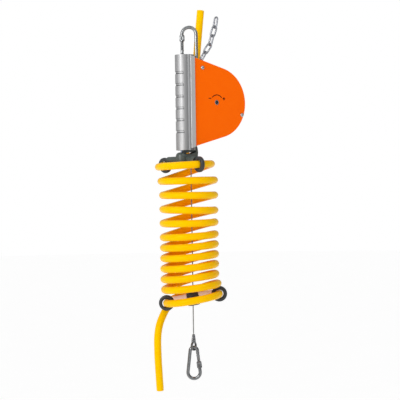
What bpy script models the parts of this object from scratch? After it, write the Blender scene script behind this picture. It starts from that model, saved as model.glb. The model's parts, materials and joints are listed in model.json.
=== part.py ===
"""Spring balancer for a hand tool, with a spiral air hose around its steel cable.

The origin is the point where the top hook hangs on its support, and the cable hangs straight
below it.  The cover plates lie parallel to XZ, the grip nose points to -X.  All the dimensions
are millimetres; finish() and cord() turn them into metres.
"""

import math

import bmesh
import bpy
from mathutils import Matrix, Vector

MM = 0.001
GAP = 0.3  # clearance between touching pieces

# --- housing ---
DRUM_AXIS = Vector((44.7, 0.0, -130.1))
PLATE_RADIUS = 63.0
PLATE_HALF_HEIGHT = 77.4  # of the outline at X = 0
PLATE_LEFT = -8.5  # the edge that is tucked into the extrusion
PLATE_FACE = 20.0  # half the width over the plates
PLATE_THICK = 2.0
BAND_INSET, BAND_THICK = 0.4, 1.0
BAND_TOP_X, BAND_BOTTOM_X = 30.0, 27.0  # the band stops here, short of the extrusion
NOSE_X, NOSE_RADIUS, NOSE_BORE = -13.0, 15.0, 12.0
COIL_X = -6.0  # of the spiral's middle turns
NOSE_TOP, NOSE_BOTTOM = -46.6, -215.0
FLANGE_LEFT, FLANGE_RIGHT, FLANGE_FACE = -12.5, -3.5, 22.0
WEB_FACE = 1.5
GRIP_COUNT, GRIP_TOP, GRIP_PITCH = 6, -78.5, 20.8
GRIP_HEIGHT, GRIP_DEPTH, GRIP_HALF_ANGLE = 4.8, 1.0, math.radians(57)
HOOK_HOLE_Z, HOOK_HOLE_RADIUS = -64.0, 7.4
BOLTS = [Vector((14.2, 0.0, -69.5)), Vector((100.1, 0.0, -151.3))]
BOLT_RADIUS, BOLT_HEAD_RADIUS, BOLT_HEAD_HIGH = 2.0, 3.6, 2.2

# --- drum and adjuster ---
WINDING_RADIUS, CABLE_RADIUS = 38.3, 1.0
DRUM_FLANGE, DRUM_HALF, DRUM_CORE = 42.5, 11.0, 37.0
SHAFT_RADIUS, SHAFT_HOLE = 4.5, 4.8

# --- hooks: the view of both is along DEPTH, and ACROSS lies in their plane ---
HOOK_TURN = math.radians(-35)
ACROSS = Vector((math.cos(HOOK_TURN), math.sin(HOOK_TURN), 0.0))
DEPTH = Vector((-math.sin(HOOK_TURN), math.cos(HOOK_TURN), 0.0))
ROD = 3.0  # radius of the hooks' wire

# --- safety chain ---
LINK_WIRE, LINK_BEND, LINK_PITCH = 1.5, 4.5, 16.1
CHAIN_Y = -11.0
CHAIN_LEAN = [8.0, 30.0, 33.0, 15.0, 17.6, 9.4]  # degrees from upright, link by link

# --- hose ---
HOSE_RADIUS = 6.5
COIL_TURNS = 12
COIL_RADIUS = 46.0
COIL_LEFT = math.radians(145)  # the side of the coil towards -ACROSS
CLAMP_Z = -240.3
REAR_CLAMP, FRONT_CLAMP = math.radians(105), math.radians(268)
RING_OUTER, RING_BORE, RING_WIDTH = 14.0, 7.2, 7.0
BOSS_X = -19.5  # of the screw that holds the upper bracket
RING_ACROSS, RING_LEFT_Z, RING_RIGHT_Z = 46.9, -486.0, -471.0
BAR_LOW, BAR_HIGH, BAR_HALF = -3.0, 9.0, 2.6  # the lower bar stands on edge
CABLE_EXIT_Z, CABLE_END_Z = -222.0, -548.0


# ---------------------------------------------------------------- helpers

def clear_scene():
    for obj in list(bpy.data.objects):
        bpy.data.objects.remove(obj, do_unlink=True)


def material(name, colour, roughness, metallic=0.0):
    made = bpy.data.materials.new(name)
    made.use_nodes = True
    shader = made.node_tree.nodes["Principled BSDF"]
    shader.inputs["Base Color"].default_value = (*colour, 1.0)
    shader.inputs["Roughness"].default_value = roughness
    shader.inputs["Metallic"].default_value = metallic
    return made


def finish(name, bm, look, pivot=(0.0, 0.0, 0.0), sharp=35.0):
    """Makes the node from a mesh in millimetres, with its origin at pivot."""
    pivot = Vector(pivot)
    bmesh.ops.recalc_face_normals(bm, faces=bm.faces)
    bmesh.ops.translate(bm, vec=-pivot, verts=bm.verts)
    bmesh.ops.scale(bm, vec=(MM, MM, MM), verts=bm.verts)
    mesh = bpy.data.meshes.new(name)
    bm.to_mesh(mesh)
    bm.free()
    mesh.shade_smooth()
    mesh.set_sharp_from_angle(angle=math.radians(sharp))
    mesh.materials.append(MATERIALS[look])
    obj = bpy.data.objects.new(name, mesh)
    obj.location = pivot * MM
    bpy.context.scene.collection.objects.link(obj)
    return obj


def helper(obj):
    obj.hide_render = True
    obj.display_type = "WIRE"
    return obj


def combine(target, tool, operation):
    """Cuts or joins the target with a helper object."""
    modifier = target.modifiers.new(operation.title(), "BOOLEAN")
    modifier.operation = operation
    modifier.solver = "EXACT"
    modifier.object = helper(tool)


def axes(origin, x, y, z):
    """The matrix that places a shape's own axes at origin along x, y and z."""
    columns = [Vector(v).normalized() for v in (x, y, z)]
    turn = Matrix([[c[i] for c in columns] for i in range(3)]).to_4x4()
    return Matrix.Translation(Vector(origin)) @ turn


def along(origin, direction):
    """A frame at origin whose Z points along direction."""
    turn = Vector(direction).to_track_quat("Z", "Y").to_matrix().to_4x4()
    return Matrix.Translation(Vector(origin)) @ turn


XZ_PLANE = axes((0, 0, 0), (1, 0, 0), (0, 0, 1), (0, -1, 0))  # outlines in X and Z
HOOK_PLANE = axes((0, 0, 0), ACROSS, (0, 0, 1), -DEPTH)


def prism(bm, outline, low, high, frame):
    """Adds an outline in a frame's XY, from low to high along its Z."""
    rings = [[bm.verts.new(frame @ Vector((x, y, z))) for x, y in outline] for z in (low, high)]
    count = len(outline)
    bm.faces.new(rings[0][::-1])
    bm.faces.new(rings[1])
    for i in range(count):
        j = (i + 1) % count
        bm.faces.new([rings[0][i], rings[0][j], rings[1][j], rings[1][i]])


def turned(bm, profile, frame, steps=32):
    """Adds a profile of (radius, height) turned about the frame's Z, as a closed loop."""
    rings = []
    for radius, height in profile:
        if radius < 1e-6:
            rings.append([bm.verts.new(frame @ Vector((0, 0, height)))] * steps)
            continue
        angles = (2 * math.pi * i / steps for i in range(steps))
        rings.append([bm.verts.new(frame @ Vector((radius * math.cos(a), radius * math.sin(a),
                                                   height))) for a in angles])
    for ring, after in zip(rings, rings[1:] + rings[:1]):
        for i in range(steps):
            j = (i + 1) % steps
            corners = list(dict.fromkeys([ring[i], ring[j], after[j], after[i]]))
            if len(corners) > 2:
                bm.faces.new(corners)


def cylinder(bm, radius, low, high, frame, steps=24, edge=0.0):
    """Adds a solid cylinder along the frame's Z, with chamfered edges."""
    turned(bm, [(0, low), (radius - edge, low), (radius, low + edge), (radius, high - edge),
                (radius - edge, high), (0, high)] if edge else
           [(0, low), (radius, low), (radius, high), (0, high)], frame, steps)


def swept(bm, points, radius, side, sides=12, closed=False):
    """Adds a round wire along points that lie in a plane whose normal is side."""
    side = Vector(side).normalized()
    rings, count = [], len(points)
    for i, point in enumerate(points):
        before = points[(i - 1) % count if closed else max(i - 1, 0)]
        after = points[(i + 1) % count if closed else min(i + 1, count - 1)]
        normal = (after - before).normalized().cross(side).normalized()
        angles = (2 * math.pi * k / sides for k in range(sides))
        rings.append([bm.verts.new(point + radius * (math.cos(a) * normal + math.sin(a) * side))
                      for a in angles])
    pairs = list(zip(rings, rings[1:])) + ([(rings[-1], rings[0])] if closed else [])
    for ring, after in pairs:
        for k in range(sides):
            j = (k + 1) % sides
            bm.faces.new([ring[k], ring[j], after[j], after[k]])
    if not closed:
        bm.faces.new(rings[0][::-1])
        bm.faces.new(rings[-1])


def arc(centre, radius, start, end, steps):
    """Points of an arc in 2-D, its angles in radians."""
    span = (end - start) / steps
    return [(centre[0] + radius * math.cos(start + span * i),
             centre[1] + radius * math.sin(start + span * i)) for i in range(steps + 1)]


def hexagon(across_flats):
    radius = across_flats / math.sqrt(3)
    return arc((0, 0), radius, 0, 2 * math.pi * 5 / 6, 5)


def boxed(bm, low, high):
    prism(bm, [(low[0], low[1]), (high[0], low[1]), (high[0], high[1]), (low[0], high[1])],
          low[2], high[2], Matrix())


def rounded(obj, width, segments=2):
    modifier = obj.modifiers.new("Bevel", "BEVEL")
    modifier.width = width * MM
    modifier.segments = segments
    modifier.limit_method = "ANGLE"
    modifier.angle_limit = math.radians(50)


def smooth_route(points, step):
    """Points about step apart on a smooth curve through all the route's points."""
    points = [Vector(p) for p in points]
    ends = [2 * points[0] - points[1], *points, 2 * points[-1] - points[-2]]
    found = []
    for a, b, c, d in zip(ends, ends[1:], ends[2:], ends[3:]):
        pieces = max(1, round((c - b).length / step))
        for i in range(pieces):
            t = i / pieces
            found.append(0.5 * (2 * b + (c - a) * t + (2 * a - 5 * b + 4 * c - d) * t * t
                                + (3 * b - a - 3 * c + d) * t ** 3))
    return found + [points[-1]]


def cord(name, points, radius, resolution, look):
    data = bpy.data.curves.new(name, "CURVE")
    data.dimensions = "3D"
    data.bevel_depth = radius * MM
    data.bevel_resolution = resolution
    data.use_fill_caps = True
    spline = data.splines.new("POLY")
    spline.points.add(len(points) - 1)
    for spot, point in zip(spline.points, points):
        spot.co = (*(Vector(point) * MM), 1.0)
    data.materials.append(MATERIALS[look])
    obj = bpy.data.objects.new(name, data)
    bpy.context.scene.collection.objects.link(obj)
    return obj


# ---------------------------------------------------------------- housing

def plate_edge(inset, left_top, left_bottom):
    """The D outline in X and Z, from its upper left end round the drum to its lower left end."""
    centre = (DRUM_AXIS.x, DRUM_AXIS.z)
    corner = Vector((-DRUM_AXIS.x, PLATE_HALF_HEIGHT))
    tangent = math.atan2(corner.y, corner.x) - math.acos(PLATE_RADIUS / corner.length)
    points = arc(centre, PLATE_RADIUS - inset, tangent, -tangent, 36)
    slope = 1 / math.tan(tangent)
    (top_x, top_z), (low_x, low_z) = points[0], points[-1]
    return [(left_top, top_z + (top_x - left_top) * slope), *points,
            (left_bottom, low_z - (low_x - left_bottom) * slope)]


def make_plate(name, low_y):
    bm = bmesh.new()
    prism(bm, plate_edge(0.0, PLATE_LEFT, PLATE_LEFT), -low_y - PLATE_THICK, -low_y, XZ_PLANE)
    plate = finish(name, bm, "orange")
    holes = bmesh.new()
    for centre, radius in [(DRUM_AXIS, SHAFT_HOLE)] + [(b, BOLT_RADIUS + 0.2) for b in BOLTS]:
        cylinder(holes, radius, -low_y - 2 * PLATE_THICK, -low_y + PLATE_THICK,
                 Matrix.Translation(centre) @ XZ_PLANE)
    combine(plate, finish(name + "_holes", holes, "orange"), "DIFFERENCE")
    return plate


def make_band():
    outer = plate_edge(BAND_INSET, BAND_TOP_X, BAND_BOTTOM_X)
    inner = plate_edge(BAND_INSET + BAND_THICK, BAND_TOP_X, BAND_BOTTOM_X)
    half = PLATE_FACE - PLATE_THICK - GAP
    bm = bmesh.new()
    prism(bm, outer + inner[::-1], -half, half, XZ_PLANE)
    finish("rim_band", bm, "orange")


def extrusion_section():
    """Half of the section of the spine, from its nose round to the middle of its inner face."""
    nose = arc((NOSE_X, 0.0), NOSE_RADIUS, math.pi, math.radians(250), 10)
    plate_in, plate_out = PLATE_FACE - PLATE_THICK - GAP, PLATE_FACE + GAP
    slot = PLATE_LEFT - GAP
    return nose + [
        (-14.6, -15.6), (-13.1, -18.2), (FLANGE_LEFT, -FLANGE_FACE + 0.6),
        (FLANGE_LEFT + 0.6, -FLANGE_FACE), (FLANGE_RIGHT, -FLANGE_FACE),
        (FLANGE_RIGHT, -plate_out), (slot, -plate_out), (slot, -plate_in),
        (FLANGE_RIGHT, -plate_in), (FLANGE_RIGHT, -plate_in + 2.2), (WEB_FACE, -plate_in + 5.0)]


def make_extrusion():
    half = extrusion_section()
    outline = half + [(x, -y) for x, y in half[:0:-1]]
    bm = bmesh.new()
    prism(bm, outline, NOSE_BOTTOM, NOSE_TOP, Matrix())
    body = finish("body_extrusion", bm, "aluminium", sharp=28.0)

    cuts = bmesh.new()
    cylinder(cuts, NOSE_BORE, NOSE_BOTTOM - 5, NOSE_TOP + 5, along((NOSE_X, 0, 0), (0, 0, 1)), 32)
    combine(body, finish("bore_cutter", cuts, "aluminium"), "DIFFERENCE")

    ends = bmesh.new()  # the flanges end along the plates' sloping edges
    edge = plate_edge(-0.9, PLATE_LEFT, PLATE_LEFT)
    inside = FLANGE_LEFT - 0.4
    for (x, z), tip in ((edge[0], 60.0), (edge[-1], -60.0)):
        slope = (edge[1][1] - edge[0][1]) / (edge[1][0] - edge[0][0]) * (1 if tip > 0 else -1)
        wedge = [(x + dx, z + slope * dx) for dx in (inside - x, 20.0)]
        wedge += [(x + 20.0, z + tip), (inside, z + tip)]
        for sign in (-1, 1):
            low, high = sorted((sign * 15.4, sign * 30.0))
            prism(ends, wedge, low, high, XZ_PLANE)
    combine(body, finish("flange_end_cutters", ends, "aluminium"), "DIFFERENCE")

    openings = bmesh.new()  # hole for the top hook, and the slot that the cable slants through
    cylinder(openings, HOOK_HOLE_RADIUS, -6.0, 6.0, along((0, 0, HOOK_HOLE_Z), (1, 0, 0)), 28)
    boxed(openings, (-3.0, -3.0, NOSE_BOTTOM - 5), (WEB_FACE + 2, 3.0, -176.0))
    combine(body, finish("web_cutters", openings, "aluminium"), "DIFFERENCE")

    grips = bmesh.new()
    for i in range(GRIP_COUNT):
        add_grip_cutter(grips, GRIP_TOP - GRIP_PITCH * i)
    combine(body, finish("grip_cutters", grips, "aluminium"), "DIFFERENCE")


def add_grip_cutter(bm, z):
    """A slab bent round the nose, with half-round ends."""
    steps, rings = 24, []
    end_angle = GRIP_HEIGHT / 2 / NOSE_RADIUS
    for i in range(steps + 1):
        angle = -GRIP_HALF_ANGLE * math.cos(math.pi * i / steps)
        past = max(0.0, abs(angle) - GRIP_HALF_ANGLE + end_angle) / end_angle
        half = max(0.08, GRIP_HEIGHT / 2 * math.sqrt(max(0.0, 1 - past * past)))
        radii = (NOSE_RADIUS - GRIP_DEPTH, NOSE_RADIUS + 2.0)
        corners = ((radii[0], -half), (radii[1], -half), (radii[1], half), (radii[0], half))
        rings.append([bm.verts.new((NOSE_X - r * math.cos(angle), r * math.sin(angle), z + h))
                      for r, h in corners])
    for ring, after in zip(rings, rings[1:]):
        for k in range(4):
            bm.faces.new([ring[k], ring[(k + 1) % 4], after[(k + 1) % 4], after[k]])
    bm.faces.new(rings[0][::-1])
    bm.faces.new(rings[-1])


def make_bolts():
    face = PLATE_FACE + GAP
    for place, spot in zip(("top", "side"), BOLTS):
        frame = Matrix.Translation(spot) @ XZ_PLANE  # its Z points to -Y, out of the front
        dome = [(BOLT_HEAD_RADIUS * math.cos(a), face + BOLT_HEAD_HIGH * math.sin(a))
                for a in (0, math.pi / 8, math.pi / 4, math.pi * 3 / 8)]
        bolt, socket, nut = bmesh.new(), bmesh.new(), bmesh.new()
        turned(bolt, [(0, -PLATE_FACE - 3.4), (BOLT_RADIUS, -PLATE_FACE - 3.4),
                      (BOLT_RADIUS, face), *dome, (0, face + BOLT_HEAD_HIGH)], frame, 16)
        bolt = finish("plate_bolt_" + place, bolt, "zinc")
        prism(socket, hexagon(2.5), face + 0.8, face + 4.0, frame)
        combine(bolt, finish("bolt_socket_" + place, socket, "zinc"), "DIFFERENCE")
        bore = BOLT_RADIUS / math.cos(math.pi / 6) + GAP
        turned(nut, [(bore, -face), (3.5, -face), (3.9, -face - 0.5), (3.9, -face - 2.6),
                     (3.5, -face - 3.0), (bore, -face - 3.0)], frame, 6)
        finish("plate_nut_" + place, nut, "zinc")

    inside = PLATE_FACE - PLATE_THICK - GAP
    room = LINK_WIRE + GAP
    for name, low, high in (("bolt_spacer_front", room - CHAIN_Y, inside),
                            ("bolt_spacer_rear", -inside, -CHAIN_Y - room)):
        sleeve = bmesh.new()
        turned(sleeve, [(BOLT_RADIUS + GAP, low), (3.8, low), (3.8, high),
                        (BOLT_RADIUS + GAP, high)], Matrix.Translation(BOLTS[0]) @ XZ_PLANE, 16)
        finish(name, sleeve, "zinc")


# ---------------------------------------------------------------- drum and adjuster

def make_drum():
    frame = along(DRUM_AXIS, (0, 1, 0))
    pivot = DRUM_AXIS
    flange = 2.0
    bm = bmesh.new()
    turned(bm, [(5.0, DRUM_HALF), (DRUM_FLANGE, DRUM_HALF), (DRUM_FLANGE, DRUM_HALF - flange),
                (DRUM_CORE, DRUM_HALF - flange), (DRUM_CORE, flange - DRUM_HALF),
                (DRUM_FLANGE, flange - DRUM_HALF), (DRUM_FLANGE, -DRUM_HALF),
                (33.0, -DRUM_HALF), (33.0, 8.0), (8.0, 8.0), (8.0, -5.0), (5.0, -5.0)],
           frame, 36)
    finish("cable_drum", bm, "black_plastic", pivot)

    bm = bmesh.new()
    turned(bm, [(5.0, -9.3), (32.7, -9.3), (32.7, -DRUM_HALF), (5.0, -DRUM_HALF)], frame, 40)
    finish("spring_cover", bm, "zinc", pivot)

    wound = bmesh.new()  # cable lying in the drum's groove, turn beside turn
    turns, pitch = 8, 2.1
    inner = WINDING_RADIUS - CABLE_RADIUS
    width = turns * pitch / 2
    profile = [(inner, width), (inner, -width)]
    for i in range(turns):
        middle = (i + 0.5) * pitch - width
        profile += [(WINDING_RADIUS + CABLE_RADIUS * math.cos(a), middle + CABLE_RADIUS * math.sin(a))
                    for a in (-1.3, 0.0, 1.3)]
    turned(wound, profile, frame, 28)
    finish("cable_wound", wound, "steel_cable", pivot)

    spring = bmesh.new()  # flat strip coiled from the shaft to the drum's wall
    turns, steps, thick = 7, 22, 0.8
    count = turns * steps
    inner_r, outer_r = 9.2, 31.6
    rings = []
    for i in range(count + 1):
        angle = 2 * math.pi * i / steps
        radius = inner_r + (outer_r - inner_r) * i / count
        rings.append([spring.verts.new(frame @ Vector((r * math.cos(angle), r * math.sin(angle), h)))
                      for r, h in ((radius, -8.5), (radius + thick, -8.5),
                                   (radius + thick, 7.2), (radius, 7.2))])
    for ring, after in zip(rings, rings[1:]):
        for k in range(4):
            spring.faces.new([ring[k], ring[(k + 1) % 4], after[(k + 1) % 4], after[k]])
    spring.faces.new(rings[0][::-1])
    spring.faces.new(rings[-1])
    finish("mainspring", spring, "spring_steel", pivot)


def make_adjuster():
    """The shaft that the spring winds against: a hex key in its front end sets the pull."""
    frame = Matrix.Translation(DRUM_AXIS) @ XZ_PLANE
    front, back = PLATE_FACE - 0.6, -PLATE_FACE - 3.0
    collar = PLATE_FACE - PLATE_THICK - GAP
    bm = bmesh.new()
    turned(bm, [(0, back), (SHAFT_RADIUS - 0.4, back), (SHAFT_RADIUS, back + 0.4),
                (SHAFT_RADIUS, collar - 3.0), (10.0, collar - 3.0), (10.0, collar),
                (SHAFT_RADIUS, collar), (SHAFT_RADIUS, front - 0.4), (SHAFT_RADIUS - 0.4, front),
                (0, front)], frame, 28)
    shaft = finish("adjuster_shaft", bm, "zinc", DRUM_AXIS)
    socket = bmesh.new()
    prism(socket, hexagon(6.0), front - 9.0, front + 4.0, frame)
    combine(shaft, finish("key_socket", socket, "zinc"), "DIFFERENCE")

    ring = bmesh.new()  # snap ring behind the rear plate
    outline = arc((0, 0), 7.2, math.radians(20), math.radians(340), 20)
    outline += arc((0, 0), SHAFT_RADIUS + GAP, math.radians(340), math.radians(20), 20)
    prism(ring, outline, -PLATE_FACE - GAP - 1.2, -PLATE_FACE - GAP, frame)
    finish("shaft_snap_ring", ring, "spring_steel", DRUM_AXIS)


# ---------------------------------------------------------------- hooks

class Outline:
    """A hook's centre line: a big and a small bend joined by two straight sides."""

    def __init__(self, tip_bend, tip_z, hinge_bend, hinge_z, gate_side):
        """Bend radii, and the Z of each bend's centre.  The gate's free end is at the tip bend."""
        self.side = gate_side
        self.tip, self.tip_z, self.hinge, self.hinge_z = tip_bend, tip_z, hinge_bend, hinge_z
        self.up = 1 if tip_z > hinge_z else -1
        self.lean = math.asin((tip_bend - hinge_bend) / abs(tip_z - hinge_z))

    def bend(self, at_tip, turn):
        """A point on a bend, turned from the gate's side (0) to the other side (1)."""
        radius, z = (self.tip, self.tip_z) if at_tip else (self.hinge, self.hinge_z)
        outward = self.up if at_tip else -self.up
        start = -self.lean if at_tip else self.lean
        angle = start + turn * (math.pi - 2 * start)
        return self.place(radius * math.cos(angle) * self.side,
                          z + outward * radius * math.sin(angle))

    @staticmethod
    def place(across, z):
        return ACROSS * across + Vector((0, 0, z))

    def gate_line(self):
        """Where the gate's side leaves the two bends, and its direction towards the tip."""
        hinge, tip = self.bend(False, 0.0), self.bend(True, 0.0)
        return hinge, tip, (tip - hinge).normalized()


def make_hook(prefix, outline, nose, hinge_up, sleeve_from_tip, sleeve_long):
    """Body, hinge pin, gate and threaded sleeve.  nose is how far the body reaches down the
    gate's side from the tip bend, hinge_up how far the pin is from the hinge bend."""
    foot, top, rise = outline.gate_line()
    pin_at = foot + rise * hinge_up
    nose_end = top - rise * nose
    inward = rise.cross(DEPTH).normalized()
    eye, ear, slot = ROD - 0.1, 1.3, 1.6

    steps = 14
    path = [nose_end] if nose > 0.5 else []
    path += [outline.bend(True, i / steps) for i in range(steps + 1)]
    path += [outline.bend(False, 1 - i / steps) for i in range(steps + 1)]
    path += [pin_at - rise * (ROD + 0.5)]
    body = bmesh.new()
    swept(body, path, ROD, DEPTH)
    body = finish(prefix + "_hook_body", body, "hook_zinc", sharp=50.0)

    blade = bmesh.new()  # the flat tongue that carries the pin
    pin_frame = axes(pin_at, inward, rise, inward.cross(rise))
    tongue = arc((0, 0), eye, 0, math.pi, 10) + [(-eye, -ROD - 2.0), (eye, -ROD - 2.0)]
    prism(blade, tongue, -ear, ear, pin_frame)
    combine(body, finish(prefix + "_tongue", blade, "hook_zinc"), "UNION")
    hole = bmesh.new()
    cylinder(hole, 1.1, -5.0, 5.0, pin_frame, 16)
    hole_tool = finish(prefix + "_pin_hole", hole, "hook_zinc")
    combine(body, hole_tool, "DIFFERENCE")

    pin = bmesh.new()
    cylinder(pin, 1.0, -ROD + 0.2, ROD - 0.2, pin_frame, 16, 0.2)
    finish(prefix + "_gate_pin", pin, "hook_zinc", pin_at)

    length = (nose_end - pin_at).length - GAP
    gate_frame = along(pin_at, rise)
    thread_low, thread_high, pitch = 5.0, length - 1.5, 1.4
    profile = [(0, -ROD * 0.9), (ROD * 0.6, -ROD * 0.8), (ROD * 0.9, -ROD * 0.45), (ROD, 0),
               (ROD, thread_low)]
    for i in range(int((thread_high - thread_low) / pitch)):
        z = thread_low + i * pitch
        profile += [(ROD - 0.5, z + 0.35 * pitch), (ROD, z + 0.7 * pitch), (ROD, z + pitch)]
    profile += [(ROD, length), (0, length)]
    gate = bmesh.new()
    turned(gate, profile, gate_frame, 12)
    gate = finish(prefix + "_gate", gate, "hook_zinc", pin_at, sharp=50.0)
    fork = bmesh.new()
    prism(fork, [(-6, -6), (6, -6), (6, ROD + 0.5), (-6, ROD + 0.5)], -slot, slot, pin_frame)
    combine(gate, finish(prefix + "_gate_slot", fork, "hook_zinc"), "DIFFERENCE")
    combine(gate, hole_tool, "DIFFERENCE")

    high = length - sleeve_from_tip
    low, grip, bore = high - sleeve_long, 4.5, ROD + GAP
    sleeve = bmesh.new()
    turned(sleeve, [(bore, low), (grip - 0.8, low), (grip, low + 0.8), (grip, high - 0.8),
                    (grip - 0.8, high), (bore, high)], gate_frame, 24)
    finish(prefix + "_sleeve", sleeve, "hook_zinc", pin_at)
    return pin_at, rise, inward


# ---------------------------------------------------------------- chain

def chain_frames():
    """For each link, its lower and upper contact points and the direction of its width."""
    point = Vector((BOLTS[0].x, CHAIN_Y, BOLTS[0].z - BOLT_RADIUS - GAP - LINK_WIRE))
    point.z += LINK_WIRE + GAP / 2
    found = []
    for i, lean in enumerate(CHAIN_LEAN):
        angle = math.radians(lean)
        direction = ACROSS * math.sin(angle) + Vector((0, 0, math.cos(angle)))
        wide = Vector((1, 0, 0)) if i % 2 == 0 else Vector((0, 1, 0))
        wide = (wide - direction * wide.dot(direction)).normalized()
        found.append((point, point + direction * LINK_PITCH, direction, wide))
        point = point + direction * LINK_PITCH
    return found


def make_chain():
    frames = chain_frames()
    for i, (low, high, direction, wide) in enumerate(frames):
        middle = (low + high) / 2
        straight = LINK_PITCH / 2 + LINK_WIRE + GAP / 2 - LINK_BEND
        outline = arc((0, straight), LINK_BEND, 0, math.pi, 8)
        outline += arc((0, -straight), LINK_BEND, math.pi, 2 * math.pi, 8)
        points = [middle + wide * x + direction * y for x, y in outline]
        bm = bmesh.new()
        swept(bm, points, LINK_WIRE, direction.cross(wide), 8, closed=True)
        pivot = BOLTS[0] + Vector((0, CHAIN_Y, 0)) if i == 0 else link_pivot(frames, i)
        finish(f"chain_link_{i + 1}", bm, "chain_zinc", pivot, sharp=60.0)


def link_pivot(frames, i):
    """A link turns about the wire of the link below it."""
    _, high, direction, _ = frames[i - 1]
    return high + direction * (LINK_WIRE + GAP / 2)


# ---------------------------------------------------------------- hose

def coil_side_heights():
    """Z of the hose's centre line where each turn passes the left and then the right side."""
    heights = [(-244.0, -239.8)]
    left, right = -269.3, -268.5
    for turn in range(1, COIL_TURNS - 1):
        heights.append((left, right))
        left -= 24.9 if turn < 5 else 18.6
        right -= 26.6 if turn < 3 else 21.3 if turn < 5 else 17.6
    return heights + [(RING_LEFT_Z, RING_RIGHT_Z)]


def coil_point(angle):
    """The hose's centre line, by its angle seen from above, which is 90 degrees straight behind."""
    stops = [z for pair in coil_side_heights() for z in pair]
    place = (angle - COIL_LEFT) / math.pi
    before = min(max(math.floor(place), 0), len(stops) - 2)
    part = min(max(place - before, 0.0), 1.0)
    ease = (1 - math.cos(math.pi * part)) / 2
    z = stops[before] * (1 - ease) + stops[before + 1] * ease
    if place < 0:  # before the first left side
        part = (angle - math.pi / 2) / (COIL_LEFT - math.pi / 2)
        z = CLAMP_Z + (stops[0] - CLAMP_Z) * (1 - math.cos(math.pi * part)) / 2
    turns = (angle - math.pi / 2) / (2 * math.pi)
    shift = min(NOSE_X * (1 - max(0.0, turns - 0.6) / 1.8), COIL_X)
    shift *= min(1.0, max(0.0, COIL_TURNS - 1 - turns))  # back to the middle over the last turn
    last = max(0.0, turns - COIL_TURNS + 2)
    radius = COIL_RADIUS + max(0.0, 1 - turns) + (RING_ACROSS - COIL_RADIUS) * min(last, 1.0)
    return Vector((shift + radius * math.cos(angle), radius * math.sin(angle), z))


INLET_ROUTE = [(45.2, 27.5, 39.4), (39.3, 27.4, -8.0), (34.6, 27.6, -50.0), (30.0, 29.0, -98.0),
               (25.5, 31.5, -145.0), (20.0, 33.8, -186.0), (14.8, 34.8, -214.0), (6.6, 39.4, -227.6),
               (-10.3, 46.4, -237.0)]
TAIL_ROUTE = [(36.0, 30.0, -473.0), (14.0, 44.8, -477.4), (-12.0, 45.3, -482.6),
              (-33.0, 33.0, -488.6), (-45.0, 18.5, -495.0), (-52.0, 10.5, -505.0), (-59.0, 1.0, -520.5),
              (-62.4, -6.0, -535.0), (-63.8, -9.0, -550.0), (-63.8, -9.0, -569.0),
              (-63.3, -7.0, -591.0), (-62.3, -4.0, -613.0), (-61.0, -1.0, -642.0)]


def coil_run(first, last, step_degrees):
    count = round((last - first) / step_degrees)
    return [coil_point(math.radians(first + (last - first) * i / count)) for i in range(count + 1)]


def tail_points():
    """The tail's route is given across, in depth and in Z."""
    return [ACROSS * s + DEPTH * d + Vector((0, 0, z)) for s, d, z in TAIL_ROUTE]


def make_hose():
    last_turn = 360.0 * (COIL_TURNS - 1)
    inlet = INLET_ROUTE + coil_run(math.degrees(REAR_CLAMP), 380.0, 13.0)
    cord("hose_inlet", smooth_route(inlet, 17.0), HOSE_RADIUS, 3, "hose_yellow")
    outlet = coil_run(last_turn + 78.0, last_turn + 340.0, 13.0) + tail_points()
    cord("hose_outlet", smooth_route(outlet, 17.0), HOSE_RADIUS, 3, "hose_yellow")

    # the coil between the clamps: a sleeve whose ends lie along the rolled turns
    levels = [(-9.7, -258.8, -254.8), (-8.0, -276.0, -274.6), (COIL_X, -300.0, -300.5),
              (COIL_X, -345.0, -343.0), (COIL_X, -407.0, -400.0), (COIL_X / 2, -452.0, -440.0),
              (0.0, -471.6, -456.6)]
    bm = bmesh.new()
    steps, outer, inner = 36, COIL_RADIUS + HOSE_RADIUS, COIL_RADIUS - HOSE_RADIUS
    walls = []
    for radius, order in ((outer, levels), (inner, levels[::-1])):
        for shift, left, right in order:
            ring = []
            for i in range(steps):
                angle = 2 * math.pi * i / steps
                roll = math.cos(angle - COIL_LEFT)
                z = (left + right) / 2 + roll * (left - right) / 2
                ring.append(bm.verts.new((shift + radius * math.cos(angle),
                                          radius * math.sin(angle), z)))
            walls.append(ring)
    for ring, after in zip(walls, walls[1:] + walls[:1]):
        for i in range(steps):
            j = (i + 1) % steps
            bm.faces.new([ring[i], ring[j], after[j], after[i]])
    finish("hose_coil", bm, "hose_yellow")


# ---------------------------------------------------------------- hose brackets

def ring_clamp(name, centre, axis):
    """A rounded ring that the hose runs through."""
    half = RING_WIDTH / 2
    profile = [(RING_BORE, -half + 0.8), (RING_BORE + 0.8, -half), (RING_OUTER - 2.2, -half),
               (RING_OUTER - 0.6, -half + 0.9), (RING_OUTER, 0.0), (RING_OUTER - 0.6, half - 0.9),
               (RING_OUTER - 2.2, half), (RING_BORE + 0.8, half), (RING_BORE, half - 0.8)]
    bm = bmesh.new()
    turned(bm, profile, along(centre, axis), 28)
    finish(name, bm, "black_plastic")


def saddle(bm, centre, axis):
    cylinder(bm, RING_OUTER + GAP, -20.0, 20.0, along(centre, axis), 36)


def clamp_axis(angle):
    """The hose's own direction where it runs through a clamp."""
    before = Vector(INLET_ROUTE[-1]) if angle == REAR_CLAMP else coil_point(angle - 0.3)
    return (coil_point(angle + 0.3) - before).normalized()


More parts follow.
